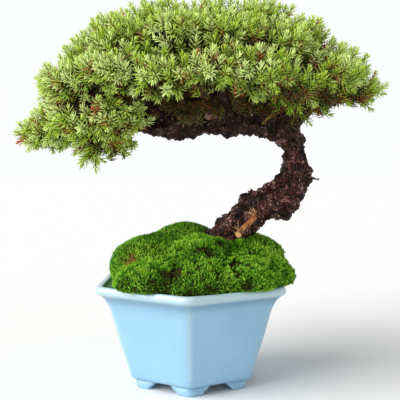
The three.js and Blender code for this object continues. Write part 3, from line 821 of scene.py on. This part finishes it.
def bark_scales(bark):
    """Loose scales of bark that lie over each other on the thick wood."""
    rng = np.random.default_rng(5)
    spots, normals = surface_samples(bark, SCALE_TRIES, rng)
    spacing = Spacing(2.4 * MM)
    thick = [i for i in range(len(spots)) if RIM < spots[i][2] < SCALES_TOP and spacing.take(spots[i])]
    spots, normals = spots[thick], normals[thick]
    count = len(spots)
    flat = unit(np.cross(normals, rng.normal(0, 1, (count, 3))))
    direction = unit(flat + normals * rng.uniform(0.0, 0.22, (count, 1)))
    up = unit(np.cross(direction, np.cross(normals, direction)))
    base = spots - normals * 0.6 * MM
    length, width = rng.uniform(1.4, 3.2, count) * MM, rng.uniform(1.2, 2.6, count) * MM
    bend, tone = rng.uniform(-0.1, 0.12, count), rng.random(count)
    parts = blades(SCALE, base, direction, up, length, width, bend, tone)
    mesh = triangle_mesh("bark_scales", *parts, smooth=False)
    put_in_scene("bark_scales", mesh, blade_material("bark_scales"), "bark")


def deadwood_material(name, shades):
    """Bare wood: streaks along it in four shades, and pale rings on a sawn end."""
    nodes = Nodes(name, {"Roughness": 0.65})
    spot = nodes.add("ShaderNodeUVMap", uv_map="OFBake").outputs[0]
    streaks = nodes.add("ShaderNodeMapping", {0: spot, 3: (16, 2.5, 1)}).outputs[0]
    grain = nodes.noise(1000, 4, 0.6, streaks)
    stops = [(position, *shade) for position, shade in zip((0.36, 0.47, 0.57, 0.7), shades)]
    colour = nodes.ramp(nodes.mix(0.5, grain, nodes.noise(4, 3)), stops)
    off_axis = nodes.vertex_value("off_axis")
    rings = nodes.ramp(
        nodes.math("FRACT", nodes.math("MULTIPLY", off_axis, 0.9)),
        [(0.0, *shades[1]), (0.3, *shades[3]), (0.8, *shades[3]), (1.0, *shades[1])],
    )
    sawn = nodes.vertex_value("sawn")
    nodes.colour(nodes.mix(sawn, colour, rings))
    nodes.rough(nodes.span(grain, 0.3, 0.7, 0.8, 0.55))
    nodes.bump(grain, 0.5, 0.7)
    return nodes.material


def cut_branch(name, places, girths, facing, material):
    """A bare length of branch, from its root in the wood to a sawn face that looks along facing."""
    steps, sides, face_rings = 30, 28, 6
    spots = np.array([list(at_axis(*place)) for place in places])
    share = np.linspace(0, len(spots) - 1, steps)
    path = np.column_stack([np.interp(share, range(len(spots)), spots[:, k]) for k in range(3)])
    for _ in range(6):
        path[1:-1] = (path[:-2] + path[1:-1] * 2 + path[2:]) / 4
    girth = np.interp(share, range(len(girths)), girths) * MM
    facing = unit(np.array(facing, float))
    face = [path[-1] + facing * 0.02 * MM * (k + 1) for k in range(face_rings)]
    path = np.concatenate([path, face])
    girth = np.concatenate([girth, girth[-1] * np.linspace(0.95, 0.15, face_rings)])
    points, faces, uv = tubes(path[None], girth[None], sides, np.zeros(1), 1)
    rows = len(path)
    for i in range(sides * rows):
        row, side = divmod(i, sides)
        if row < steps - 1:
            angle = 2 * math.pi * side / sides
            where = Vector((2.2 * math.cos(angle), 2.2 * math.sin(angle), row / 9))
            points[i] += (points[i] - path[row]) * 0.25 * noise.noise(where)
        else:
            outline = points[(steps - 1) * sides + side] - path[steps - 1]
            flat = unit(outline - facing * (outline @ facing))
            points[i] = path[row] + flat * girth[row]
    mesh = triangle_mesh(name, points, faces, uv)
    put_values(mesh, "off_axis", np.append(np.repeat(girth / MM, sides), [0, 0]))
    put_values(mesh, "sawn", np.append(np.repeat(np.arange(rows) >= steps, sides), [0, 1]))
    put_in_scene(name, mesh, material, "bark")


# For each length of bare wood: its material and shades, then its places, radii and the way its end faces.
DEADWOOD = {
    "peeled_stub": (
        ("peeled_wood", [(40, 25, 14), (108, 64, 30), (184, 118, 60), (228, 178, 120)]),
        [(55.5, -18, 143.5), (50.5, -22, 138.5), (43.5, -24.5, 131.5), (37.0, -27.5, 125.0)],
        [1.4, 2.1, 2.3, 2.7],
        (-0.35, -0.88, -0.25),
    ),
    "pruning_scar": (
        ("scar_wood", [(110, 68, 56), (164, 114, 98), (194, 146, 128), (214, 172, 154)]),
        [(16.5, -2, 214), (16, -6, 218.5), (15.5, -10.5, 222)],
        [4.4, 5.0, 5.4],
        (0.05, -0.85, 0.5),
    ),
    "dead_spur": (
        ("spur_wood", [(24, 18, 10), (48, 38, 20), (74, 60, 32), (104, 86, 50)]),
        [(86, 1, 172), (98, -1, 170), (104.5, -3, 168)],
        [2.4, 1.3, 0.4],
        (1, 0, 0),
    ),
}
# Where tufts of torn fibres stand on the stub, and how far they reach up in millimetres.
FIBRES = [((36.5, -28, 127), 7), ((37.5, -29, 126), 5), ((49, -25, 140), 6), ((51, -24, 142), 5)]


def deadwood():
    """The bare lengths of wood, and the torn fibres on the stub."""
    for name, (finish, *shape) in DEADWOOD.items():
        cut_branch(name, *shape, deadwood_material(*finish))
    rng = np.random.default_rng(3)
    paths, radii = [], []
    for place, rise in FIBRES:
        for _ in range(3):
            start = np.array(at_axis(*place)) + rng.normal(0, 0.8 * MM, 3)
            lean = unit(np.array([-0.5, -0.3, 1.0]) + rng.normal(0, 0.3, 3)) * rise * MM
            curl = rng.normal(0, 1.4 * MM, 3)
            paths.append([start + lean * t + curl * t * t for t in np.linspace(0, 1, 6)])
            radii.append(np.linspace(0.3, 0.12, 6) * MM)
    parts = tubes(np.array(paths), np.array(radii), 5, rng.random(len(paths)))
    mesh = triangle_mesh("stub_fibres", *parts)
    put_in_scene("stub_fibres", mesh, blade_material("wood_fibres"), "bark")


def dead_twig(material):
    """A withered sprig that hangs before the fork of the trunk."""
    rng = np.random.default_rng(8)
    tips = np.array([list(at_axis(79, -19, 228)), list(at_axis(72, -21, 229))])
    axes = unit(np.array([[0.85, -0.1, 0.5], [0.7, -0.2, 0.7]]))
    grown = whorls(rng, tips, axes, axes, 10, 2.1 * MM, 4.2 * MM, (0.35, 0.8), 4 * MM)
    count = len(grown["length"])
    tone = rng.choice([0.05, 0.07, 0.08, 0.1], count)
    needles = whorl_blades(NEEDLE, grown, 0.7 * MM, 0.15, tone)
    lengths = np.linspace(0, 22, 8) * MM
    stems = tips[:, None] - axes[:, None] * lengths[None, ::-1, None]
    radii = np.tile(np.linspace(0.6, 0.25, 8), (2, 1)) * MM
    stem = tubes(stems, radii, 5, np.full(2, 0.07))
    put_in_scene("dead_twig", triangle_mesh("dead_twig", *joined([needles, stem])), material, "bark")


# How many sprigs, and how far their tips range along the limb, from front to back and upwards.
SPRIG_GROUPS = [
    (90, (-38, 66), (-26, 18), (228, 237)),
    (40, (-50, 30), (2, 36), (231, 247)),
    (70, (-70, -42), (-12, 24), (234, 252)),
]


def withered_sprigs(material):
    """Brown and orange sprigs that have died back along the top of the limb, under the pads."""
    rng = np.random.default_rng(29)
    limb = tree_of(solids(["trunk"]))
    roots, tips = [], []
    for number, along, depth, rise in SPRIG_GROUPS:
        for x in rng.uniform(*along, number):
            roots.append(limb.find_nearest(at_axis(x, rng.uniform(-9, 9), 224))[0])
            tips.append(at_axis(x + rng.normal(0, 6), rng.uniform(*depth), rng.uniform(*rise)))
    roots, tips = np.array(roots), np.array(tips)
    count = len(tips)
    axes = unit(tips - roots)
    grown = whorls(rng, tips, axes, axes, 7, 1.5 * MM, 6.0 * MM, (0.4, 1.3), 4 * MM)
    size = len(grown["length"])
    orange = rng.random(count)[grown["shoot"]] < 0.16
    tone = np.where(orange, rng.uniform(0.0, 0.05, size), rng.uniform(0.06, 0.12, size))
    needles = whorl_blades(NEEDLE, grown, 1.1 * MM, 0.12, tone)
    roots = roots - axes * 2 * MM
    stems = tips[:, None] + (roots - tips)[:, None] * np.linspace(1, 0, 5)[None, :, None]
    stem = tubes(stems, np.tile(np.linspace(0.6, 0.3, 5), (count, 1)) * MM, 4, np.full(count, 0.09))
    mesh = triangle_mesh("withered_sprigs", *joined([needles, stem]))
    put_in_scene("withered_sprigs", mesh, material, "needles")


# ---- moss

# How coarse the leaves of a cushion are, where they aren't of size one.
MOSS_GRAIN = {"moss_left_crown": 0.85, "moss_top_crown": 0.85, "moss_right_crown": 1.2}
MOSS_GRAIN |= {"moss_right_edge": 1.35, "moss_front_right": 1.3}
FINE_GRAIN = 0.9
# Where the moss lies low and thin over its brown ground, and where it is rusty: a place and its reach.
MOSS_HOLLOWS = [((-13, -64, 97), 9), ((14, -48, 109), 4.5), ((33, -52, 103), 6.5)]
MOSS_HOLLOWS += [((41, -64, 89), 4.5), ((24, -36, 117), 4), ((-30, -50, 96), 4)]
MOSS_RUST = ((-48, -35, 104), 5.5)
MOSS_TRIES = 120000
MOSS_SPACING = 1.3 * MM
MOSS_CLEARANCE = 0.9 * MM


def moss_ground_material():
    nodes = Nodes("moss_ground", {"Roughness": 0.95, "Specular IOR Level": 0.05})
    clods = nodes.mix(0.5, nodes.noise(7, 4), nodes.noise(1.2, 3))
    nodes.colour(nodes.ramp(clods, [(0.35, 30, 19, 10), (0.5, 38, 34, 11), (0.66, 44, 62, 12)]))
    nodes.rough(nodes.span(nodes.noise(2, 3), 0.3, 0.7, 1.0, 0.85))
    nodes.bump(nodes.noise(1.0, 3), 0.8, 0.8)
    return nodes.material


def nearness(spots, centre, reach):
    """One at a place, falling to nothing at a distance of about twice its reach in millimetres."""
    return np.exp(-(np.linalg.norm(spots - np.array(at_axis(*centre)), axis=1) / (reach * MM)) ** 2)


def moss_ground_height(skin):
    """Fills each crease between cushions nearly up to the moss's own surface."""

    def height(point, normal):
        room = skin.ray_cast(point * MM, normal, 10 * MM)[3] or 0
        return 0.85 * room / MM + 0.9 * noise.noise(point / 7) + 0.6 * noise.noise(point / 2.5) - 1.0

    return height


def moss():
    """Each cushion's ground, and the leafy shoots that cover it."""
    rng = np.random.default_rng(23)
    ground, leaves = moss_ground_material(), blade_material("moss_leaves")
    surface = closed_over(CUSHIONS, 2.0, 11, 22)
    skin = tree_of([surface])
    avoided = ["soil", "trunk", "pot"]
    spots, normals = open_samples(surface, MOSS_TRIES, avoided, MOSS_CLEARANCE, MOSS_SPACING, rng)
    place = owners(CUSHIONS)(spots)
    thin = noise_at(spots, 8) + 0.6 * noise_at(spots, 3)
    patch = noise_at(spots, 22)
    bare = sum(nearness(spots, *hollow) for hollow in MOSS_HOLLOWS)
    rusty = nearness(spots, *MOSS_RUST)
    for index, cushion in enumerate(CUSHIONS):
        mesh = rebuilt([cushion], 1.5, 8)
        displace(mesh, moss_ground_height(skin))
        put_in_scene(cushion + "_ground", mesh, ground, "moss", cushion)
        grain = MOSS_GRAIN.get(cushion, 1.0)
        sparse, relief = (-0.8, 0.45) if grain < FINE_GRAIN else (-0.5, 1.0)
        mine = (place == index) & ((thin - bare > sparse) | (rng.random(len(thin)) < 0.3 - 0.15 * bare))
        count = mine.sum()
        axes = unit(normals[mine] + [0, 0, 0.4] + rng.normal(0, 0.2, (count, 3)))
        tall = 0.6 + 1.5 * relief * thin[mine] - 1.6 * bare[mine] + rng.normal(0, 0.35, count)
        tall = tall.clip(-1.2, 2.6) * grain
        tips = spots[mine] + axes * (tall * MM)[:, None]
        grown = whorls(rng, tips, axes, axes, 3, 1.0 * MM, 2.3 * MM * grain, (0.25, 0.95), 1.6 * MM, 0.3)
        shoot = grown["shoot"]
        # Painted shade: leaves are toned darker where the moss is low and thin and in the hollows; patch
        # varies the tone at random.
        shades = 0.34 * relief * thin + 0.32 * patch - 0.3 * bare
        tone = 0.7 + 0.25 * (grain - 0.85) + shades[mine][shoot] - 0.42 * grown["opened"] ** 2
        tone += rng.normal(0, 0.13, count)[shoot] + rng.normal(0, 0.05, len(shoot))
        tone = tone.clip(0.12, 0.999)
        tone[rng.random(len(shoot)) < 0.005 + 1.1 * rusty[mine][shoot]] = 0
        bend = rng.normal(0.15, 0.1, len(shoot))
        parts = whorl_blades(LEAFLET, grown, 0.7 * MM * grain, bend, tone)
        name = cushion + "_leaves"
        put_in_scene(name, triangle_mesh(name, *parts), leaves, "moss")


# ---- pot

RIM_RADIUS = 86.6
NECK_RADIUS = 77
BELLY_RADIUS = 66
BELLY_HEIGHT = 38
BASE_RADIUS = 58.5
WALL = 5.5
LIP_WIDTH = 6
LIP_DEPTH = 7
FOOT_HEIGHT = 7.5
FLOOR_TOP = 14.5
FOOT_RADIUS = 52
FOOT_THICKNESS = 6
ARCH_WIDTH = 29
ARCH_SHOULDER = 3.6
ARCH_STEP = 4
ARCH_RISE = 5
DRAIN_RADIUS = 7.5
CORNER_ROUNDING = 0.14
POT_TURN = math.radians(-2)
POT_HEIGHT = RIM / MM


def hexagon(corner_steps, side_steps):
    """The pot's outline for a corner radius of one, and how near each point is to a corner."""
    turn = math.pi / 3
    centre = 1 - CORNER_ROUNDING / math.cos(turn / 2)

    def on_corner(corner, angle):
        """The point of a corner's rounding that faces an angle."""
        return np.array([centre * f(corner) + CORNER_ROUNDING * f(angle) for f in (math.cos, math.sin)])

    points, corner_share = [], []
    for side in range(6):
        corner = side * turn - math.pi / 2 + POT_TURN
        for step in range(corner_steps + 1):
            share = step / corner_steps - 0.5
            points.append(on_corner(corner, corner + share * turn))
            corner_share.append(1 - 2 * abs(share))
        start, end = points[-1], on_corner(corner + turn, corner + turn / 2)
        for step in range(1, side_steps):
            points.append(start + step / side_steps * (end - start))
            corner_share.append(0)
    return np.array(points), np.array(corner_share)


def rounded(outline, steps=6):
    """A closed outline of (radius, height, reach) with each corner drawn as a curve."""
    made = []
    for index, (radius, height, reach) in enumerate(outline):
        here = np.array([radius, height])
        before = np.array(outline[index - 1][:2]) - here
        after = np.array(outline[(index + 1) % len(outline)][:2]) - here
        start = here + before / np.linalg.norm(before) * reach
        end = here + after / np.linalg.norm(after) * reach
        for share in np.linspace(0, 1, steps):
            made.append((1 - share) ** 2 * start + 2 * share * (1 - share) * here + share**2 * end)
    return np.array(made)


def loft(rings):
    """A closed ring-shaped body through rings of equally many points: (R, N, 3)."""
    count, around = rings.shape[:2]
    index = np.arange(count * around).reshape(count, around)
    ahead = np.roll(index, -1, axis=0)
    beside, corner = np.roll(index, -1, axis=1), np.roll(ahead, -1, axis=1)
    faces = np.stack([index, beside, corner, index, corner, ahead], axis=-1).reshape(-1, 3)
    return rings.reshape(-1, 3), faces


def pot_profile():
    """Half of the pot's section, as radius and height, from the drain hole up the outside and back down."""
    top, lip, inner = POT_HEIGHT, POT_HEIGHT - LIP_DEPTH, RIM_RADIUS - LIP_WIDTH
    outline = [(DRAIN_RADIUS, FOOT_HEIGHT, 0.8), (BASE_RADIUS - 2.5, FOOT_HEIGHT, 4)]
    outline += [(BASE_RADIUS + 1, FOOT_HEIGHT + 12, 6), (BELLY_RADIUS, BELLY_HEIGHT, 9)]
    outline += [(NECK_RADIUS - 2.2, lip - 11, 4.5), (NECK_RADIUS + 2.4, lip - 3.4, 3.2)]
    outline += [(RIM_RADIUS - 3, lip - 0.2, 1.6), (RIM_RADIUS + 0.2, lip + 1.6, 1.4)]
    outline += [(RIM_RADIUS + 0.6, top - 2.2, 1.6), (RIM_RADIUS - 1.4, top + 0.1, 1.3)]
    outline += [(inner, top - 0.2, 1.6), (inner - 0.8, top - 3, 1.2)]
    outline += [(NECK_RADIUS - WALL + 1, lip, 2), (BELLY_RADIUS - WALL, BELLY_HEIGHT, 9)]
    outline += [(BASE_RADIUS - WALL - 1, FLOOR_TOP, 4), (DRAIN_RADIUS, FLOOR_TOP, 1)]
    return rounded(outline)


def arch_height(distance):
    """How high the foot's underside stands at a distance from the middle of a side."""
    outer = np.clip((ARCH_WIDTH / 2 - distance) / ARCH_STEP, 0, 1)
    inner = np.clip((ARCH_WIDTH / 2 - ARCH_STEP - distance) / ARCH_RISE, 0, 1)
    rise = ARCH_SHOULDER * (1 - (1 - outer) ** 2)
    return rise + (FOOT_HEIGHT - ARCH_SHOULDER) * (1 - (1 - inner) ** 2)


def foot_rings():
    """The ring of bracket feet, with a stepped arch under the middle of each side."""
    outline, _ = hexagon(8, 60)
    angle = np.arctan2(outline[:, 1], outline[:, 0]) - POT_TURN + math.pi / 2
    off_middle = (angle % (math.pi / 3)) - math.pi / 6
    middle = FOOT_RADIUS * math.cos(math.pi / 6)
    sole = arch_height(np.abs(np.tan(off_middle)) * middle)
    inner, top = FOOT_RADIUS - FOOT_THICKNESS, FOOT_HEIGHT + 1
    section = [(inner, 1.0), (inner, 0.12), (inner + 0.8, 0.0), (FOOT_RADIUS - 1.8, 0.0)]
    section += [(FOOT_RADIUS - 0.9, 0.05), (FOOT_RADIUS - 0.5, 0.14), (FOOT_RADIUS, 1.0)]
    rings = [np.column_stack([radius * outline, sole + share * (top - sole)]) for radius, share in section]
    return np.array(rings)[::-1]


def glaze_material():
    """Pale blue glaze that breaks to white on the edges, with painted shadow under the lip and painted shade
    at the foot of the body.
    """
    nodes = Nodes("glaze", {"Roughness": 0.32, "Coat Weight": 0.35, "Coat Roughness": 0.2})
    cloudy = nodes.mix(0.12, nodes.noise(38, 2), nodes.noise(3, 3))
    colour = nodes.ramp(cloudy, [(0.3, 133, 177, 206), (0.5, 138, 182, 211), (0.7, 143, 187, 215)])
    thin = nodes.vertex_value("thin_glaze")
    colour = nodes.mix(nodes.math("MULTIPLY", thin, 0.7), colour, rgb(186, 206, 204))
    # Painted shadow under the lip and painted shade at the body's foot, in darker blue-grey.
    painted_shade = nodes.vertex_value("painted_shade_glaze")
    nodes.colour(nodes.mix(nodes.math("MULTIPLY", painted_shade, 0.5), colour, rgb(80, 118, 144)))
    nodes.rough(nodes.span(nodes.noise(5, 3), 0.3, 0.7, 0.28, 0.38))
    nodes.bump(nodes.noise(14, 2), 0.3, 0.3)
    return nodes.material


def pot():
    """The pot, with how thin its glaze is and how much painted shade it takes at each vertex."""
    outline, corner_share = hexagon(10, 8)
    profile = pot_profile()
    circle = unit(outline)
    rings, thin, painted_shade = [], [], []
    for radius, height in profile:
        blend = min(1, max(0, (radius - DRAIN_RADIUS) / 20))
        ring = radius * (blend * outline + (1 - blend) * circle)
        rings.append(np.column_stack([ring, np.full(len(ring), height)]))
        on_lip = radius > RIM_RADIUS - 3.2 or (height > POT_HEIGHT - 0.4)
        outside = radius > BASE_RADIUS and height < POT_HEIGHT
        thin.append(np.maximum(on_lip * 0.9, outside * 0.55 * corner_share**2))
        # Painted shadow in a band under the lip, and painted shade where the body meets the feet.
        under_lip = math.exp(-(((height - POT_HEIGHT + LIP_DEPTH + 2) / 4.5) ** 2))
        foot = math.exp(-(((height - FOOT_HEIGHT) / 2.5) ** 2)) * (radius > 40)
        painted_shade.append(np.full(len(ring), max(under_lip * (radius < RIM_RADIUS - 2.6), 0.5 * foot)))
    points, faces = loft(np.array(rings))
    foot_points, foot_faces = loft(foot_rings())
    faces = np.concatenate([faces, foot_faces + len(points)])
    points = np.concatenate([points, foot_points]) * MM + np.array([AXIS_X, AXIS_Y, 0])
    mesh = triangle_mesh("glazed_pot", points, faces)
    for name, values in (("thin_glaze", thin), ("painted_shade_glaze", painted_shade)):
        put_values(mesh, name, np.concatenate([np.ravel(values), np.zeros(len(foot_points))]))
    put_in_scene("glazed_pot", mesh, glaze_material(), "glaze", "pot")


# ---- soil, drain cover and floor


def soil_material():
    nodes = Nodes("soil", {"Roughness": 0.95})
    grains = nodes.cells(1.8, "F1", "Color")
    colour = nodes.ramp(grains, [(0.2, 30, 20, 14), (0.6, 64, 44, 30), (0.9, 112, 86, 60)])
    nodes.colour(nodes.mix(nodes.span(nodes.noise(8), 0.4, 0.65), colour, rgb(24, 16, 11)))
    nodes.rough(nodes.span(nodes.noise(2), 0.3, 0.7, 1.0, 0.85))
    nodes.bump(nodes.cells(1.8), 1.0, 0.8)
    return nodes.material


def plain_material(name, settings, size, stops, rough_size, rough, bump_size, depth):
    """A hidden part's material: colour, roughness and bump each follow noise of their own size."""
    nodes = Nodes(name, settings)
    nodes.colour(nodes.ramp(nodes.noise(size), stops))
    nodes.rough(nodes.span(nodes.noise(rough_size), 0.3, 0.7, *rough))
    nodes.bump(nodes.noise(bump_size), depth, 0.4)
    return nodes.material


def finish_node(name, material):
    """A CAD node that stays, with a better material."""
    data = NODES[name].data
    data.materials.clear()
    data.materials.append(material)


def make_floor():
    """A plain pale floor."""
    reach = 6.0
    corners = np.array([(-reach, -reach, 0), (reach, -reach, 0), (reach, reach, 0), (-reach, reach, 0)])
    mesh = triangle_mesh("floor", corners, np.array([(0, 1, 2), (0, 2, 3)]))
    nodes = Nodes("floor", {"Roughness": 0.8})
    nodes.colour(nodes.ramp(nodes.noise(60, 3), [(0.3, 237, 238, 238), (0.7, 239, 240, 240)]))
    mesh.materials.append(nodes.material)
    floor = placed("floor", mesh)


# ---- the bonsai

make_camera()
make_lights()
make_floor()
pot()
finish_node("soil", soil_material())
black = [(0.35, 20, 22, 20), (0.7, 40, 44, 40)]
copper = [(0.35, 112, 66, 44), (0.65, 172, 112, 70)]
plastic = plain_material("mesh_plastic", {"Roughness": 0.6}, 3, black, 2, (0.5, 0.75), 0.8, 0.1)
metal = {"Roughness": 0.4, "Metallic": 1.0}
wire = plain_material("staple_wire", metal, 2, copper, 1.5, (0.3, 0.6), 0.6, 0.05)
finish_node("drainage_mesh", plastic)
finish_node("mesh_staple", wire)
bark_scales(trunk_piece())
deadwood()
needles = blade_material("juniper_needles")
dead_twig(needles)
withered_sprigs(needles)
moss()
foliage(needles)
